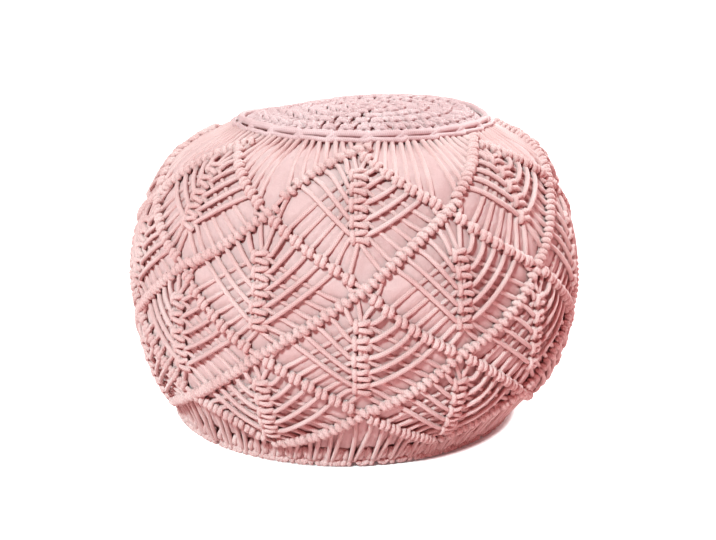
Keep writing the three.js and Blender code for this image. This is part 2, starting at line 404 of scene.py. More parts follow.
def hitch(place, tilt, slant, wide):
    """Two bars, wide mm apart. Each moves slant mm to the right as it goes down."""
    angle = np.linspace(-40, 570, HITCH_STEPS)  # 0 is above the leader and 90 in front of it
    behind = wide - slant
    corners = np.cumsum([-1.5 * behind - slant, behind, slant, behind, slant, behind])
    along = np.interp(angle, [-180, 0, 180, 360, 540, 720], corners)
    across = -(HITCH_DEEP + wobble(0.2)) * np.cos(np.radians(angle))
    lift = LEADER_LIFT + (HITCH_HIGH + wobble(0.2)) * np.sin(np.radians(angle))
    place = beside(place, wobble(0.4), wobble(0.4))
    points = sketch(place, zip(along, across, lift), tilt)
    return wrap([(turn, down, rise * MM) for turn, down, rise in points])


hitches = []
for turn, level, side in RIDGES:
    slope = ridge_tilt(turn, level, side)
    share, slant, loose, wide = BARS[side]
    for n in range(1, HITCHES + 1):
        tilt = slope * share + wobble(5)
        hitches.append(hitch(hitch_place(turn, level, side, n), tilt, slant + wobble(loose), wide))
for turn, level in CROSSINGS:
    hitches.append(hitch(beside(lattice(turn, level), *CROSSING_AT), CROSSING_TILT + wobble(3), 1.5, 7.9))
print(f"{len(hitches)} hitches")

# %% [markdown]
# ## The leaders
#
# Each ridge is wound round a cord of its own, which comes down from the top and keeps to one
# direction all the way to the floor.

# %% Leaders
TUCKED = 2.4  # mm, the lift of a cord's end where a knot hides it


def leader(turn, side):
    points = []
    for level in range(ROWS + 1):
        at = turn + side * level * HALF
        points += [(*ridge_place(at, level, side, share), LEADER_LIFT) for share in (0, 0.33, 0.67)]
    points.append((*lattice(turn + side * (ROWS + 1) * HALF, ROWS + 1), LEADER_LIFT))
    start = lattice(turn + side * 0.03 * HALF, START_LEVEL)
    return laid([(*start, TUCKED), (*beside(points[0][:2], side * 1.5, -9), 3.4)] + points, 3)


leaders = [leader(2 * HALF * i, side) for i in range(DIAMONDS) for side in (-1, 1)]
print(f"{len(leaders)} leaders")

# %% [markdown]
# ## The diamonds
#
# Seven cords come out of each upper side of a diamond. The one nearest the top goes straight
# down the middle as a filler. The next five run in to the column, each tie one square knot
# round the fillers with the cord from the other side, and run out again. The last one bows
# round the side crossing. The cords running in lie on top of those running out.

# %% The column of square knots
KNOTS = 5
KNOT_CORD = 5.4
FIRST_KNOT = [0.437, 0.624, 0.482, 0.508]  # levels below the top crossing, for each row
KNOT_PITCH = [0.212, 0.229, 0.241, 0.27]


def knot_place(turn, row, k):
    return lattice(turn, row + FIRST_KNOT[row] + KNOT_PITCH[row] * (k - 1))


def square_knot(place, lean):
    """A tall loop on the left, and the two bars that it holds, drawn in mm."""
    w = [wobble(0.5) for _ in range(6)]
    bump = [(-6.4, -5.4, 3.0), (-7.0 + w[0], -4.8, 6.2), (-6.9 + w[0], -2.3, 8.6),
            (-6.9 + w[1], 2.3, 8.6), (-6.8 + w[1], 4.8, 6.2), (-6.2, 5.4, 3.0)]
    upper = [(-7.5, -1.6, 4.0), (-4.6, -2.7, 7.4), (0, -3.4 + w[2] * 0.5, 8.5),
             (3.6, -4.4 + w[3], 7.6), (6.6, -4.6 + w[3], 4.4)]
    lower = [(-7.5, 1.8, 4.0), (-4.6, 2.7, 7.2), (0, 3.5 + w[4] * 0.5, 8.3),
             (4.4, 4.8 + w[5], 7.6), (8.0, 6.4 + w[5], 4.6)]
    return [laid(sketch(place, part, lean), 2) for part in (bump, upper, lower)]


knots = []
for turn, row in DIAMOND_TOPS:
    for k in range(1, KNOTS + 1):
        place = beside(knot_place(turn, row, k), wobble(0.5), wobble(0.5))
        knots += square_knot(place, wobble(3))
print(f"{len(knots) // 3} square knots")

# %% Cords that run in, out and down
def mix(a, b, share, aside, lift):
    """A place part of the way from a to b, moved aside to the right and down, in mm."""
    return (*beside(between(a, b, share), *aside), lift)


def leaving(place):
    """The end of a cord that comes down out of the hitch at a place."""
    return (*beside(place, 0, 0.5), TUCKED)


def reaching(place):
    """The end of a cord that runs down into the hitch at a place."""
    return (*beside(place, 0, -0.5), TUCKED)


def run_in(turn, row, side, k):
    """From a hitch on the diamond's upper side, over the others, to the column's kth knot."""
    start = hitch_place(turn, row, side, k + 1)
    knot = knot_place(turn, row, k)
    b = beside(knot, side * 10.5, -3.4)
    bow = (0, wobble(0.8)) if side < 0 else (0.5 + wobble(0.6), 1.8 + wobble(1.2))
    return laid([leaving(start), mix(start, b, 0.1, (0, 1.5), 3.6),
                 mix(start, b, 0.3, bow, 6.0), mix(start, b, 0.6, bow, 7.4),
                 mix(start, b, 0.87, (bow[0] * 0.5, bow[1] * 0.5), 7.2), (*b, 6.0),
                 (*beside(knot, side * 6.5, -1.6), 4.8), (*beside(knot, side * 2.5, -0.6), 4.2)], 3)


def run_out(turn, row, side, k):
    """From the column's kth knot, low on the cover, to a hitch on the diamond's lower side."""
    knot = knot_place(turn, row, k)
    end = hitch_place(turn + side * HALF, row + 1, -side, k + 1)
    a = beside(knot, side * 11.5, 4.0)
    bow = (wobble(0.8), wobble(1) - 0.5)
    return laid([(*beside(knot, side * 2.5, 1.2), 3.6), (*beside(knot, side * 8, 1.4), 4.2),
                 (*a, 3.4), mix(a, end, 0.35, bow, 2.7), mix(a, end, 0.7, bow, 2.7),
                 mix(a, end, 0.92, (0, -1), 3.0), reaching(end)], 3)


def corner(turn, row, side):
    """Round the crossing at the side of the diamond."""
    start = hitch_place(turn, row, side, HITCHES)
    end = hitch_place(turn + side * HALF, row + 1, -side, 1)
    middle = lattice(turn + side * HALF, row + 1)
    return laid([leaving(start), (*beside(start, -side * 0.6, 4.5), 3.2),
                 (*beside(middle, -side * (13 + wobble(1)), 1 + wobble(1)), 3.8),
                 (*beside(end, -side, -4.5), 3.2), reaching(end)])


FILLER_APART = 2.2  # mm from the column's middle


def filler(turn, row, side):
    """Straight down through the column."""
    start = hitch_place(turn, row, side, 1)
    end = hitch_place(turn + side * HALF, row + 1, -side, HITCHES)
    first, last = knot_place(turn, row, 1), knot_place(turn, row, KNOTS)
    x = side * FILLER_APART
    points = [leaving(start), (*beside(start, -side * 0.5, 4), 3.4),
              (*beside(first, x, -8.5), 4.6)]
    points += [(*beside(between(first, last, share), x, 0), 4.2) for share in (0, 0.25, 0.5, 0.75, 1)]
    points += [(*beside(last, x, 8), 4.2), (*beside(end, -side, -4), 3.2), reaching(end)]
    return laid(points, 3)


runs = []
for turn, row in DIAMOND_TOPS:
    for side in (-1, 1):
        for k in range(1, KNOTS + 1):
            runs += [run_in(turn, row, side, k), run_out(turn, row, side, k)]
        runs += [corner(turn, row, side), filler(turn, row, side)]
print(f"{len(runs)} runs of cord in the diamonds")

# %% [markdown]
# ## The fan and the foot
#
# Above the highest ridges the cords come straight from the chain, close together. Below the
# lowest ridges they fall in pairs, and each pair is one loop that hooks the rings of cord at the
# floor. Between the pairs the rings are wound closely with cord of their own: a full loop hangs
# over them down to the floor, and two turns lie deeper, so hardly any dark shows behind.

# %% The fan
PER_DIAMOND = 2 * HITCHES + 2  # cords, with the two leaders


def valley(i, level):
    """The hitches on the two ridges between neighbouring crossings, from left to right."""
    left, right = 2 * HALF * i, 2 * HALF * (i + 1)
    return ([hitch_place(left, level, 1, n) for n in range(1, HITCHES + 1)],
            [hitch_place(right, level, -1, n) for n in range(HITCHES, 0, -1)])


def fan():
    """From under the chain to the hitches of the first ridges."""
    routes = []
    for i in range(DIAMONDS):
        for n, end in enumerate(sum(valley(i, 0), []), 1):
            start = lattice(2 * HALF * (i + (n + 0.5) / PER_DIAMOND), START_LEVEL)
            start = beside(start, wobble(0.5), 0)
            b = beside(end, -0.8, -4)
            routes.append(laid([(*start, TUCKED), mix(start, b, 0.12, (wobble(0.4), 0), 3.2 + wobble(0.5)),
                                mix(start, b, 0.5, (wobble(0.8), 0), 2.5), (*b, 3.0), (*end, TUCKED)]))
    return routes


fan_cords = fan()
print(f"{len(fan_cords)} cords in the fan")

# %% The pairs of cords at the foot
PAIR_APART = math.degrees(2.7 / 198)  # half the way between a pair's cords, at 198 mm radius


def foot_starts():
    """Where cords leave the lowest ridges, in order round the pouf."""
    starts = []
    for i in range(DIAMONDS):
        left, right = valley(i, ROWS)
        low = lattice(2 * HALF * i + HALF, ROWS + 1)
        starts += left + [beside(low, -3, 0), beside(low, 3, 0)] + right
    return starts


def foot_loop(left, right):
    """One pair of cords that draw together, and meet in a loop hooked round the rings."""
    middle = (left[0] + right[0]) / 2 + wobble(0.4)
    hook = wobble(2) * MM

    def half(start, apart):
        low = (middle + apart, FLOOR - 15 * MM + hook)
        return [(*start, TUCKED), (*beside(start, 0, 2.5), 3.0), mix(start, low, 0.45, (wobble(0.6), 0), 3.4),
                mix(start, low, 0.78, (0, 0), 6.0), (*low, 9.2), (middle + apart * 0.8, low[1] + 5 * MM, 9.0)]

    bend = [(middle, FLOOR - 7 * MM + hook, 8.2)]
    return laid(half(left, -PAIR_APART) + bend + half(right, PAIR_APART)[::-1], 3)


starts = foot_starts()
after = starts[1:] + [(starts[0][0] + 360, starts[0][1])]
foot_loops = [foot_loop(starts[n], after[n]) for n in range(1, len(starts), 2)]
print(f"{len(foot_loops)} loops from the net")

# %% Loops and turns of cord round the rings
WRAP_TOP = FLOOR - 24 * MM


def near_floor(places):
    """Rows of turn, and radius and height in mm, as points on the pouf."""
    turn, radius, height = np.transpose(places)
    return around(turn, radius * MM, height * MM)


def ring_loop(turn):
    """A full loop of cord that hangs over the rings between two pairs, down to the floor."""
    wide, low = 4.9 + wobble(0.7), wobble(1.2)

    def arm(way):
        top = (turn, WRAP_TOP + wobble(1.8) * MM)
        points = [(-0.5, 0, 1.0), (0.1, 2.5, 5.4), (0.2, 7, 7.4)]
        return wrap([(*beside(top, way * (wide - 1 + x), y), lift * MM) for x, y, lift in points]
                    + [(*beside((turn, FLOOR - 9.5 * MM), way * (wide + 0.2), low), 7.4 * MM)])

    def foot(x, radius, height):
        return turn + math.degrees(x * wide / radius), radius, height

    side, middle = (189.5, 5.6 + low), (187.5, 4.0 + abs(low) / 2)
    bend = [foot(-0.85, *side), foot(-0.35, *middle), foot(0.35, *middle), foot(0.85, *side)]
    return smooth_line(np.vstack([arm(-1), near_floor(bend), arm(1)[::-1]]), 2)


def ring_wrap(turn):
    """A turn of cord round the rings, deeper inside, that runs on under the pouf."""
    top = WRAP_TOP + wobble(2) * MM
    outside = wrap([(turn, top, 0), (turn, top + 5 * MM, 4.6 * MM), (turn, FLOOR - 11 * MM, 5.8 * MM)])
    under = near_floor([(turn, 189, 4.6), (turn, 184, 3.5), (turn, 178.6, 3.4)])
    return smooth_line(np.vstack([outside, under]), 2)


ring_loops = []
for n in range(0, len(starts), 2):
    turn = (starts[n][0] + starts[n + 1][0]) / 2 + wobble(0.4)
    ring_loops += [ring_loop(turn), ring_wrap(turn + wobble(0.5)), ring_wrap(turn + 2.9)]
print(f"{len(ring_loops)} loops and turns round the rings")

# %% [markdown]
# ## The chain round the top
#
# A chain of large crochet links covers the place where the net's cords begin. Each link comes
# up inside the one before, opens into two arms, and closes again round the start of the next.
# One link is one short route, and twenty-four of them make the ring. The upper arm is loose and
# full, the lower one is pulled thin, and the back loops of the links show through the slits.

# %% Chain links
LINKS = 24
FIRST_LINK = 2.1  # degrees
CHAIN_MIDDLE = 12.4 * MM
CHAIN_CORD = 7.4
ARM_FULLNESS = [0.9, 1.08, 1.08, 1.08, 0.9, 0.72, 0.72, 0.72, 0.8]  # upper arm, end, lower arm


def chain_link(turn, pitch):
    upper = [(-7.0, -1.2, 3.0), (-2.5, -2.6, 6.6), (2.5, -4.2, 8.0), (0.4 * pitch, -4.7, 8.3),
             (0.75 * pitch, -4.8, 8.2), (pitch - 3.2, -4.4, 7.8), (pitch + 0.6, -1.6, 6.0)]
    lower = [(-7.0, 1.2, 2.6), (-2.5, 1.8, 4.2), (2.5, 2.8, 5.4), (0.4 * pitch, 4.1, 5.6),
             (0.75 * pitch, 5.2, 5.4), (pitch - 3.2, 6.0, 5.2), (pitch + 0.6, 2.2, 5.0)]
    arms = [(x + wobble(0.3), y + wobble(0.25), lift + wobble(0.25)) for x, y, lift in upper + lower[::-1]]
    place = (turn + wobble(0.4), CHAIN_MIDDLE + wobble(0.3) * MM)
    return laid(sketch(place, arms), 3)


link_pitch = 2 * math.pi * radius_at(CHAIN_MIDDLE) / LINKS / MM
chain_links = [chain_link(FIRST_LINK + 360 * i / LINKS, link_pitch) for i in range(LINKS)]
back_loops = wrap([(turn, CHAIN_MIDDLE, 1.2 * MM) for turn in range(0, 363, 3)])
print(f"{LINKS} links, {link_pitch:.1f} mm apart")

# %% [markdown]
# ## The knotted round on top
#
# The top is worked in rings of square knots. A thin strand runs from every knot to each of the
# two nearest knots of the next ring, which leaves small dark three-cornered gaps. Strands from
# the outer ring run under the chain, and those of the inner ring meet in a knot in the middle.

# %% Knots and strands of the round
TOP_RINGS = [(114, 40), (89, 31), (64, 23), (40, 14), (20, 8)]  # radius in mm, knots


def ring_place(ring, n):
    radius, count = TOP_RINGS[ring]
    return 360 * (n + 0.5 * (ring % 2)) / count + 3 * ring, radius * MM - TOP_EDGE


def top_knot(place):
    """A smaller square knot, drawn in mm."""
    w = [wobble(0.5) for _ in range(6)]
    bump = [(-3.8, -4.2, 3.2), (-4.4 + w[0], -3.2, 7.0), (-4.6 + w[1], 0, 8.6),
            (-4.4 + w[1], 3.2, 7.0), (-3.8, 4.2, 3.2)]
    upper = [(-5.0, -1.4, 3.6), (-2.8, -2.3, 7.2), (0.4, -2.7 + w[2], 8.6),
             (3.4, -3.1 + w[3], 7.2), (5.2, -2.1, 3.6)]
    lower = [(-5.0, 1.4, 3.6), (-2.8, 2.3, 7.2), (0.4, 2.7 + w[4], 8.4),
             (3.6, 3.4 + w[5], 7.0), (5.6, 3.0, 3.6)]
    tilt = wobble(14)
    return [laid(sketch(place, part, tilt), 2) for part in (bump, upper, lower)]


def strand(outer, inner):
    """A strand between two knots of neighbouring rings."""
    aside = 2.6 if inner[0] > outer[0] else -2.6
    a, b = beside(outer, aside, -2.5), beside(inner, -aside, 2.5)
    bow = (wobble(0.7), 0)
    return laid([(*a, 4.8), mix(a, b, 0.3, bow, 6.2 + wobble(0.6)),
                 mix(a, b, 0.7, bow, 6.0 + wobble(0.6)), (*b, 4.8)], 2)


def nearest_inside(ring, place):
    """The two knots of the next ring that are nearest to a place."""
    inner = [ring_place(ring + 1, m) for m in range(-2, TOP_RINGS[ring + 1][1] + 2)]
    return sorted(inner, key=lambda other: abs(other[0] - place[0]))[:2]


def outer_strand(place, x):
    """A strand that runs out from a knot of the outer ring, under the chain."""
    return laid([(*beside(place, x * 0.6, 2), 4.8), (*beside(place, x, 8), 6.0 + wobble(0.5)),
                 (*beside(place, x * 0.9 + wobble(1), 15), 3.6)], 2)


top_routes, top_strands = [], []
for ring, (_, count) in enumerate(TOP_RINGS):
    for n in range(count):
        place = beside(ring_place(ring, n), wobble(0.9), wobble(0.9))
        top_routes += top_knot(place)
        if ring + 1 < len(TOP_RINGS):
            top_strands += [strand(place, other) for other in nearest_inside(ring, place)]
        if ring == 0:
            top_routes += [outer_strand(place, x) for x in (-4.3, 4.3)]
print(f"{len(top_routes)} stretches of cord in the round's knots, and {len(top_strands)} strands")

# %% The knot in the middle
MIDDLE_TURNS = [(13, 4.6), (8.5, 7.6)]  # radius and lift in mm


def inner_strand(n, x):
    """A strand that runs in from a knot of the inner ring."""
    turn, down = ring_place(len(TOP_RINGS) - 1, n)
    return laid([(*beside((turn, down), x, -4), 4.2), (turn + x * 3, 15 * MM - TOP_EDGE, 5.6),
                 (turn + x * 3, 7 * MM - TOP_EDGE, 5.2)], 2)


def middle_bar(angle):
    """A short stretch over the very middle."""
    c, s = math.cos(math.radians(angle)), math.sin(math.radians(angle))
    line = [(x * c * MM, x * s * MM, HEIGHT - 5.8 * MM - abs(x) * 0.35 * MM) for x in (-8, -4, 0, 4, 8)]
    return settle(smooth_line(line, 2))


middle_knot = [inner_strand(n, x) for n in range(TOP_RINGS[-1][1]) for x in (-1.4, 1.4)]
for radius, lift in MIDDLE_TURNS:
    middle_knot.append(laid([(turn, radius * MM - TOP_EDGE, lift) for turn in range(0, 391, 30)], 2))
middle_knot += [middle_bar(angle) for angle in (20, 80, 140)]
print(f"{len(middle_knot)} stretches in the middle")

# %% [markdown]
# ## Rings at the floor
#
# Three rings of thicker cord lie inside the loops at the floor. The loops hook round them, and
# they hold the foot open. Each is a plain circle of places, since nothing on them is knotted.

# %% Floor rings
RING_CORD = 6.4
FLOOR_RINGS = [(187, 10.6), (183, 6.2), (178.6, 3.4)]  # radius and height in mm
floor_rings = [near_floor([(turn, *ring) for turn in range(0, 364, 3)]) for ring in FLOOR_RINGS]
print(f"{len(floor_rings)} rings, the widest {2 * FLOOR_RINGS[0][0]} mm across")

# %% [markdown]
# ## Cord pieces
#
# The routes become one mesh for each kind of knot, so that each stays easy to find and select.
# The cord is the same one everywhere, but it swells where it is wound loosely and thins where it
# is pulled tight, so each piece has its own thickness.

# %% Sweep the cords
FAN_CORD, LOOP_CORD, TOP_CORD, STRAND_CORD = 5.4, 6.2, 5.2, 4.2
NET_PIECES = [
    cord_piece("ridge_hitches", hitches, HITCH_CORD),
    cord_piece("ridge_leaders", leaders, CORD, 6),
    cord_piece("runs_upper", runs[:len(runs) // 2]),
    cord_piece("runs_lower", runs[len(runs) // 2:]),
    cord_piece("square_knots", knots, KNOT_CORD),
    cord_piece("fan_cords", fan_cords, FAN_CORD),
]
foot_piece = cord_piece("foot_loops", foot_loops)
wrap_piece = cord_piece("ring_loops", ring_loops, LOOP_CORD)
ring_piece = cord_piece("floor_rings", floor_rings, RING_CORD)
chain_piece = cord_piece("chain_links", chain_links, CHAIN_CORD, 10, ARM_FULLNESS)
back_piece = cord_piece("chain_back_loops", [back_loops], CHAIN_CORD)
top_piece = cord_piece("top_knots", top_routes + middle_knot, TOP_CORD, 6)
strand_piece = cord_piece("top_strands", top_strands, STRAND_CORD, 6)

# %% [markdown]
# ## The cushion
#
# The filled cushion is a sewn cotton shell, drum-tight under the net, and it shows wherever the
# cords part. Its outline is spun into a closed skin, remeshed to even squares, and blown up
# as cloth, so that it swells the way a stuffed cover does. The ridges hold it down, and no
# vertex may move further than the net would let it.

# %% Spin the cushion's skin
SKIN_DOWNS = [-20 * MM, 8 * MM, 17 * MM, 32 * MM, 70 * MM, 110 * MM]
SKIN_LIFTS = [3.5 * MM, 0.4 * MM, 0.6 * MM, 3.4 * MM, 3.3 * MM, 2.0 * MM]  # full under the fan
SKIN_UNDER = 6.2 * MM  # the height of its underside, over the base
SKIN_GRID = 6.15 * MM
SPIN_STEPS = 96


def skin_profile():
    downs = np.concatenate([np.linspace(-TOP_EDGE, 0, 9), np.linspace(0, FLOOR - 9 * MM, 22)[1:]])
    side = list(zip(*off_cover(downs, np.interp(downs, SKIN_DOWNS, SKIN_LIFTS))))
    under = [(radius * MM, SKIN_UNDER) for radius in (178, 120, 60, 0)]
    return [(0, side[0][1])] + side[1:] + under


def built(name, shape):
    """An object that shows what was built."""
    mesh = bpy.data.meshes.new(name)
    shape.to_mesh(mesh)
    shape.free()
    return link(name, mesh)


def spun(name, profile):
    """Turn a profile of radius and height about the middle, and let it lean as the pouf does."""
    shape = bmesh.new()
    line = [shape.verts.new((radius, 0, height)) for radius, height in profile]
    edges = [shape.edges.new(pair) for pair in zip(line, line[1:])]
    bmesh.ops.spin(shape, geom=line + edges, axis=(0, 0, 1), cent=(0, 0, 0), angle=2 * math.pi,
                   steps=SPIN_STEPS, use_merge=True)
    bmesh.ops.remove_doubles(shape, verts=shape.verts, dist=1e-6)
    bmesh.ops.recalc_face_normals(shape, faces=shape.faces)
    piece = built(name, shape)
    move_points(piece.data, settle(points_of(piece.data)))
    return piece


def points_of(mesh):
    return read(mesh.vertices, "co")


def move_points(mesh, points):
    mesh.vertices.foreach_set("co", points.ravel())
    mesh.update()


def normals_of(mesh):
    return read(mesh.vertex_normals, "vector")


def apply_modifiers(piece):
    made, old = final_mesh(piece), piece.data
    piece.modifiers.clear()
    piece.data = made
    made.name = piece.name
    bpy.data.meshes.remove(old)


cushion = spun("cushion_cover", skin_profile())
remesh = cushion.modifiers.new("remesh", "REMESH")
remesh.mode = "VOXEL"
remesh.voxel_size = SKIN_GRID
apply_modifiers(cushion)
print(f"the skin has {len(cushion.data.vertices)} vertices")

# %% Blow it up as cloth
SWELL = 1.9 * MM   # how far it may swell
PRESSURE, FRAMES = 12, 20
LOWEST = 5.9 * MM  # it stays over the base
HELD_NEAR, FREE_FAR = 7 * MM, 14 * MM       # from a ridge's leader
FREE_OVER, FREE_UNDER = 20 * MM, 325 * MM   # in height


def swell(piece):
    """Run the cloth, cut every step to SWELL, and tell how far the furthest would have gone."""
    start = points_of(piece.data)
    cloth = piece.modifiers.new("cloth", "CLOTH")
    cloth.settings.quality = 4
    cloth.settings.use_pressure = True
    cloth.settings.uniform_pressure_force = PRESSURE
    cloth.settings.effector_weights.gravity = 0
    cloth.settings.vertex_group_mass = "held"
    cloth.settings.shrink_min = -0.015  # the cover is cut a little full
    cloth.point_cache.frame_end = FRAMES
    for frame_number in range(1, FRAMES + 1):
        SCENE.frame_set(frame_number)
    apply_modifiers(piece)
    SCENE.frame_set(1)
    moved = points_of(piece.data)
    step = moved - start
    far = np.linalg.norm(step, axis=1, keepdims=True)
    moved = start + step * np.minimum(1, SWELL / np.maximum(far, 1e-9))
    moved[:, 2] = np.maximum(moved[:, 2], LOWEST)
    move_points(piece.data, moved)
    return float(far.max())


def tree_of(routes):
    points = np.vstack(routes)
    tree = KDTree(len(points))
    for n, point in enumerate(points):
        tree.insert(point, n)
    tree.balance()
    return tree


def hold_down(piece):
    """Pin the cover near the ridges, and all over the top and the foot."""
    held = piece.vertex_groups.new(name="held")
    ridge_lines = tree_of(leaders)
    for vertex in piece.data.vertices:
        free = smoothstep(ridge_lines.find(vertex.co)[2], HELD_NEAR, FREE_FAR)
        if not FREE_OVER < vertex.co.z < FREE_UNDER:
            free = 0
        held.add([vertex.index], 1 - free, "REPLACE")


hold_down(cushion)
print(f"the cloth pulled by up to {swell(cushion) / MM:.1f} mm")
smoother = cushion.modifiers.new("smooth", "SUBSURF")
smoother.levels = smoother.render_levels = 1
apply_modifiers(cushion)
print(f"the cover has {len(cushion.data.vertices)} vertices")

# %% [markdown]
# ## Cords pressed into the cover
#
# The plain cords don't lie on the cover but in it: the filling pushes the cloth out between
# them. Every vertex near a low cord is therefore pressed in, most of all right under it, which
# leaves soft valleys with the cords in them.

# %% Press the cords in
PRESS_WIDTH = 5.2 * MM
PRESS_DEPTH = 1.3 * MM
CORD_RADIUS = CORD * MM / 2


def press(piece, routes):
    """Push vertices in as far as a round cord over them would, up to PRESS_DEPTH."""
    tree = tree_of(routes)
    points, normals = points_of(piece.data), normals_of(piece.data)
    pressed = 0
    for n, (point, normal) in enumerate(zip(points, normals)):
        deepest = 0
        for centre, _, _ in tree.find_range(point, 2 * PRESS_WIDTH):
            step = np.array(centre) - point
            height = step @ normal
            aside = math.sqrt(max(0, step @ step - height * height)) / PRESS_WIDTH
            if aside < 1:
                deepest = max(deepest, CORD_RADIUS * math.sqrt(1 - aside * aside) - height)
        deepest = min(deepest, PRESS_DEPTH)
        pressed += deepest > 0
        points[n] = point - normal * deepest
    move_points(piece.data, points)
    return pressed


low_cords = runs + fan_cords + leaders + foot_loops + ring_loops
print(f"{press(cushion, low_cords)} vertices pressed in")
cushion.data.shade_smooth()
print(f"cushion: {triangles(cushion.data)} triangles")

# %% [markdown]
# ## The base
#
# A plain round of the same cotton closes the foot of the cushion, inside the ring of loops. It
# is a thin disc with a soft edge and a line of stitching pressed into it.

# %% The base
BASE_PROFILE = [
    # radius and height in mm: the upper face, the soft edge, the stitching, the lower face
    (0, 5.6), (168, 5.6), (172.5, 5.0), (174.5, 2.9), (173.4, 0.9), (170.5, 0),
    (166.4, 0), (165.6, 0.7), (164.4, 0.7), (163.6, 0), (120, 0), (60, 0), (0, 0),
]
base = spun("base_round", [(radius * MM, height * MM) for radius, height in BASE_PROFILE])
base.data.shade_smooth()
print(f"base: {triangles(base.data)} triangles")

# %% [markdown]
# ## Finishes
#
# Everything is matt cotton. The cord is dyed a soft pink that varies a little from place to
# place. Its braided surface catches the light in small herringbone ribs, with painted shade in
# the grooves between them. The cover is a plain weave in nearly the same dye. Both are mostly
# rough, with a little sheen from loose fibres.

# %% Node helpers
class Nodes:
    """A short way to write the node tree of a new material or world."""

    def __init__(self, owner):
        owner.use_nodes = True
        self.owner, self.tree = owner, owner.node_tree

    def add(self, kind, inputs=None, **settings):
        node = self.tree.nodes.new(kind)
        for key, value in settings.items():
            setattr(node, key, value)
        return self.fill(node, inputs or {})

    def fill(self, node, inputs):
        for key, value in inputs.items():
            self.put(node.inputs[key], value)
        return node

    def put(self, socket, value):
        if isinstance(value, bpy.types.NodeSocket):
            self.tree.links.new(value, socket)
        else:
            socket.default_value = value

    def math(self, operation, a, b=0.0, c=0.0):
        node = self.add("ShaderNodeMath", operation=operation)
        for socket, value in zip(node.inputs, (a, b, c)):
            self.put(socket, value)
        return node.outputs[0]

    def noise(self, vector, scale, detail):
        node = self.add("ShaderNodeTexNoise", {"Vector": vector, "Scale": scale, "Detail": detail})
        return node.outputs["Fac"]

    def blend(self, share, a, b):
        node = self.add("ShaderNodeMix", data_type="RGBA")
        colours = [socket for socket in node.inputs if socket.type == "RGBA"]
        for socket, value in zip([node.inputs[0], *colours], (share, a, b)):
            self.put(socket, value)
        return [socket for socket in node.outputs if socket.type == "RGBA"][0]

    def spread(self, value, low, high, to_low=0.0, to_high=1.0):
        node = self.add("ShaderNodeMapRange", {"Value": value, "From Min": low, "From Max": high,
                                               "To Min": to_low, "To Max": to_high})
        return node.outputs["Result"]

    def finish(self, inputs, name="Principled BSDF"):
        """Fill the last node, which is there from the start."""
        self.fill(self.tree.nodes[name], inputs)
        return self.owner


def dye(red, green, blue):
    """A colour as a dyer would mix it, 0 to 255, turned to linear light."""
    return (*[((c / 255 + 0.055) / 1.055) ** 2.4 for c in (red, green, blue)], 1.0)


# %% The cord's cotton
RIB = 2.2 * MM    # from rib to rib of the braid, along the cord
RIBS_ROUND = 4
NET_DYES = dye(231, 200, 198), dye(222, 184, 182)  # where the dye took lightly and where it took well
CROCHET_DYES = dye(227, 198, 199), dye(218, 184, 185)
# painted shade: a deep wine pink that darkens the grooves between the braid's ribs
GROOVE_SHADE = dye(140, 56, 60)  # between the ribs
CORD_FLUFF = dye(246, 230, 229)


def cord_cotton(name, girth, pale, deep):
    cotton = Nodes(bpy.data.materials.new(name))
    place = cotton.add("ShaderNodeTexCoord").outputs["Object"]
    length_map = cotton.add("ShaderNodeUVMap", uv_map="UVMap").outputs["UV"]
    split = cotton.add("ShaderNodeSeparateXYZ", {"Vector": length_map})
    along, round_it = split.outputs["X"], split.outputs["Y"]
    ribs = []
    for hand in (1, -1):
        slope = cotton.math("MULTIPLY", round_it, hand * 2 * math.pi * RIBS_ROUND / girth)
        ribs.append(cotton.math("SINE", cotton.math("MULTIPLY_ADD", along, 2 * math.pi / RIB, slope)))
    braid = cotton.math("MAXIMUM", *ribs)
    batch = cotton.noise(place, 22, 1.0)
    fibre = cotton.noise(place, 900, 3.0)
    tone = cotton.blend(cotton.spread(batch, 0.35, 0.65), deep, pale)
    # painted shade in the grooves, strongest where the rib pattern is lowest
    tone = cotton.blend(cotton.spread(braid, 0.6, -0.4, 0, 0.16), tone, GROOVE_SHADE)
    tone = cotton.blend(cotton.spread(fibre, 0.45, 0.75, 0, 0.16), tone, CORD_FLUFF)
    relief = cotton.math("MULTIPLY_ADD", fibre, 0.5, braid)
    bump = cotton.add("ShaderNodeBump", {"Height": relief, "Strength": 0.55, "Distance": 0.25 * MM})
    return cotton.finish({
        "Base Color": tone, "Normal": bump.outputs["Normal"],
        "Roughness": cotton.spread(fibre, 0.3, 0.7, 0.82, 0.95), "Specular IOR Level": 0.5,
        "Sheen Weight": 0.6, "Sheen Roughness": 0.55, "Sheen Tint": (1, 0.9, 0.88, 1),
    })


net_cotton = cord_cotton("pink_net_cord", math.pi * CORD * MM, *NET_DYES)
crochet_cotton = cord_cotton("pink_crochet_cord", math.pi * CHAIN_CORD * MM, *CROCHET_DYES)
print(net_cotton.name, crochet_cotton.name)

# %% The cover's cotton
THREAD = 0.8 * MM  # from weft to weft
THREADS_ROUND = 1800
COVER_DEEP, COVER_PALE = dye(214, 179, 178), dye(222, 192, 191)
COVER_FLUFF = dye(242, 216, 215)


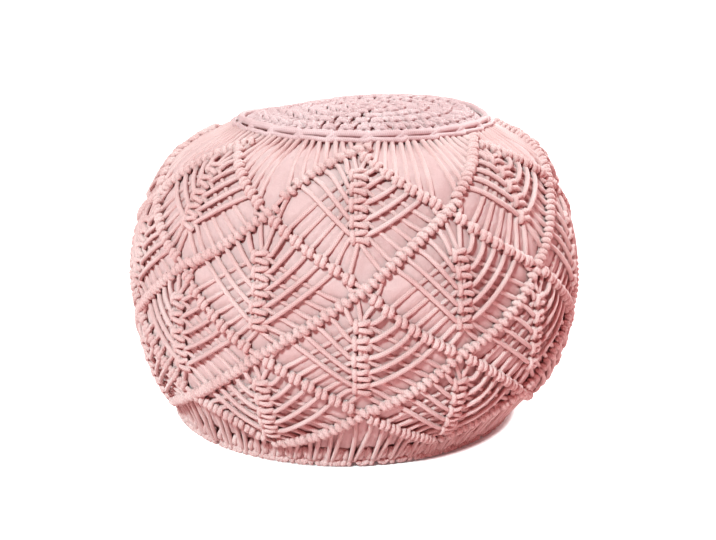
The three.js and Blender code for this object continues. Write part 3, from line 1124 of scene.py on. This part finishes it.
def cover_cotton():
    cotton = Nodes(bpy.data.materials.new("pink_cover_cotton"))
    place = cotton.add("ShaderNodeTexCoord").outputs["Object"]
    split = cotton.add("ShaderNodeSeparateXYZ", {"Vector": place})
    x, y, z = (split.outputs[axis] for axis in "XYZ")
    warp = cotton.math("SINE", cotton.math("MULTIPLY", cotton.math("ARCTAN2", x, y), THREADS_ROUND))
    weft = cotton.math("SINE", cotton.math("MULTIPLY", z, 2 * math.pi / THREAD))
    weave = cotton.math("MULTIPLY", warp, weft)
    mottle = cotton.noise(place, 16, 3.0)
    fibre = cotton.noise(place, 700, 3.0)
    tone = cotton.blend(cotton.spread(mottle, 0.3, 0.7), COVER_DEEP, COVER_PALE)
    tone = cotton.blend(cotton.spread(fibre, 0.4, 0.75, 0, 0.2), tone, COVER_FLUFF)
    relief = cotton.math("MULTIPLY_ADD", fibre, 0.6, weave)
    bump = cotton.add("ShaderNodeBump", {"Height": relief, "Strength": 0.4, "Distance": 0.15 * MM})
    return cotton.finish({
        "Base Color": tone, "Normal": bump.outputs["Normal"],
        "Roughness": cotton.spread(fibre, 0.3, 0.7, 0.85, 0.95), "Specular IOR Level": 0.4,
        "Sheen Weight": 0.5, "Sheen Roughness": 0.5, "Sheen Tint": (1, 0.88, 0.86, 1),
    })


cover = cover_cotton()
print(cover.name)

# %% Finish every piece, place it under the root, and hide the imported part it stands for
DRESSED = [
    (NET_PIECES, net_cotton, "net_cord", "net"),
    ([foot_piece, wrap_piece], net_cotton, "net_cord", "base_ring"),
    ([ring_piece], crochet_cotton, "net_cord", "base_ring"),
    ([chain_piece, back_piece], crochet_cotton, "crochet_cord", "rim_chain"),
    ([top_piece, strand_piece], crochet_cotton, "crochet_cord", "top_round"),
    ([cushion], cover, "cover", "cushion"),
    ([base], cover, "cover", "base_panel"),
]
for pieces, material, slot, node in DRESSED:
    for piece in pieces:
        piece.data.materials.clear()
        piece.data.materials.append(material)
        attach(piece, "root")
        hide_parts(node)

print(f"{sum(len(row[0]) for row in DRESSED)} pieces dressed")

# %% [markdown]
# ## Studio
#
# The pouf stands on a pale floor, which the camera sees fade to plain white a little way from
# the foot, so that only a thin line of shadow shows. A far, fairly small key light above the
# front on the left draws a crisp shadow beside every cord. A softer one behind and a lamp
# overhead keep the other sides readable. The surroundings are dim and warm, so that the gaps
# stay deep and pink, and the lamps are a little cool to balance them. The camera sees them white.

# %% Floor
FADE_FROM, FADE_TO = 185 * MM, 195 * MM  # from the middle of the foot
# The floor glows faintly, which lights the pouf a little from below, and the pouf sees a dimmer, pinker floor
# than the camera does. Past the fade the camera sees only a plain white glow, with no shadow on it.
WARM_PAPER = (0.85, 0.68, 0.68, 1)       # as the pouf sees it
PALE_PAPER = (0.94, 0.94, 0.94, 1)       # as the camera sees it
FAINT_GLOW, WHITE, BLACK = (0.06, 0.06, 0.06, 1), (1, 1, 1, 1), (0, 0, 0, 1)


def floor_paper():
    paper = Nodes(bpy.data.materials.new("pale_floor"))
    seen = paper.add("ShaderNodeLightPath").outputs["Is Camera Ray"]
    place = paper.add("ShaderNodeTexCoord").outputs["Object"]
    foot = paper.add("ShaderNodeVectorMath", {0: place, 1: (FOOT_SHIFT, 0, 0)}, operation="ADD").outputs[0]
    away = paper.add("ShaderNodeVectorMath", {0: foot}, operation="LENGTH").outputs["Value"]
    lit = paper.math("MULTIPLY", seen, paper.spread(away, FADE_FROM, FADE_TO))
    near = paper.blend(seen, WARM_PAPER, PALE_PAPER)
    return paper.finish({"Base Color": paper.blend(lit, near, BLACK), "Roughness": 0.9,
                         "Emission Color": paper.blend(lit, FAINT_GLOW, WHITE), "Emission Strength": 1})


def make_floor(radius):
    shape = bmesh.new()
    bmesh.ops.create_circle(shape, cap_ends=True, segments=64, radius=radius)
    sheet = built("floor", shape)
    sheet.data.materials.append(floor_paper())
    return sheet


floor = make_floor(12)
print("the floor is", [round(c) for c in floor.dimensions], "metres")

# %% Lights and surroundings
LAMPS = [
    # name, kind, place, strength, angle or width, colour
    ("key", "SUN", (-2.0, -4.0, 4.4), 2.03, 0.14, (0.62, 1, 1)),
    ("back", "SUN", (3.1, 3.0, 3.0), 1.2, 0.5, (0.8, 1, 1)),
    ("top", "AREA", (0.2, 0.3, 2.6), 8.5, 1.6, (0.8, 1, 1)),
]
LAMP_AIM = Vector((0, 0, 0.15))
DIM_PINK, DIM_STRENGTH = (1, 0.37, 0.37, 1), 0.31


def aimed(name, kind, place, strength, size, colour):
    lamp = bpy.data.lights.new(name, kind)
    lamp.energy = strength
    lamp.color = colour
    if kind == "SUN":
        lamp.angle = size
    else:
        lamp.shape, lamp.size = "DISK", size
    holder = link(name, lamp)
    holder.location = place
    holder.rotation_euler = (LAMP_AIM - Vector(place)).to_track_quat("-Z", "Y").to_euler()


def surroundings():
    studio = Nodes(bpy.data.worlds.new("studio"))
    dim = studio.fill(studio.tree.nodes["Background"], {"Color": DIM_PINK, "Strength": DIM_STRENGTH})
    white = studio.add("ShaderNodeBackground", {"Color": WHITE})
    seen = studio.add("ShaderNodeLightPath").outputs["Is Camera Ray"]
    mixed = studio.add("ShaderNodeMixShader", {"Fac": seen, 1: dim.outputs[0], 2: white.outputs[0]})
    return studio.finish({"Surface": mixed.outputs[0]}, "World Output")


for lamp in LAMPS:
    aimed(*lamp)
SCENE.world = surroundings()
SCENE.view_settings.view_transform = "Standard"
SCENE.view_settings.look = "Very High Contrast"
print(f"{len(LAMPS)} lamps, and the look is", SCENE.view_settings.look)
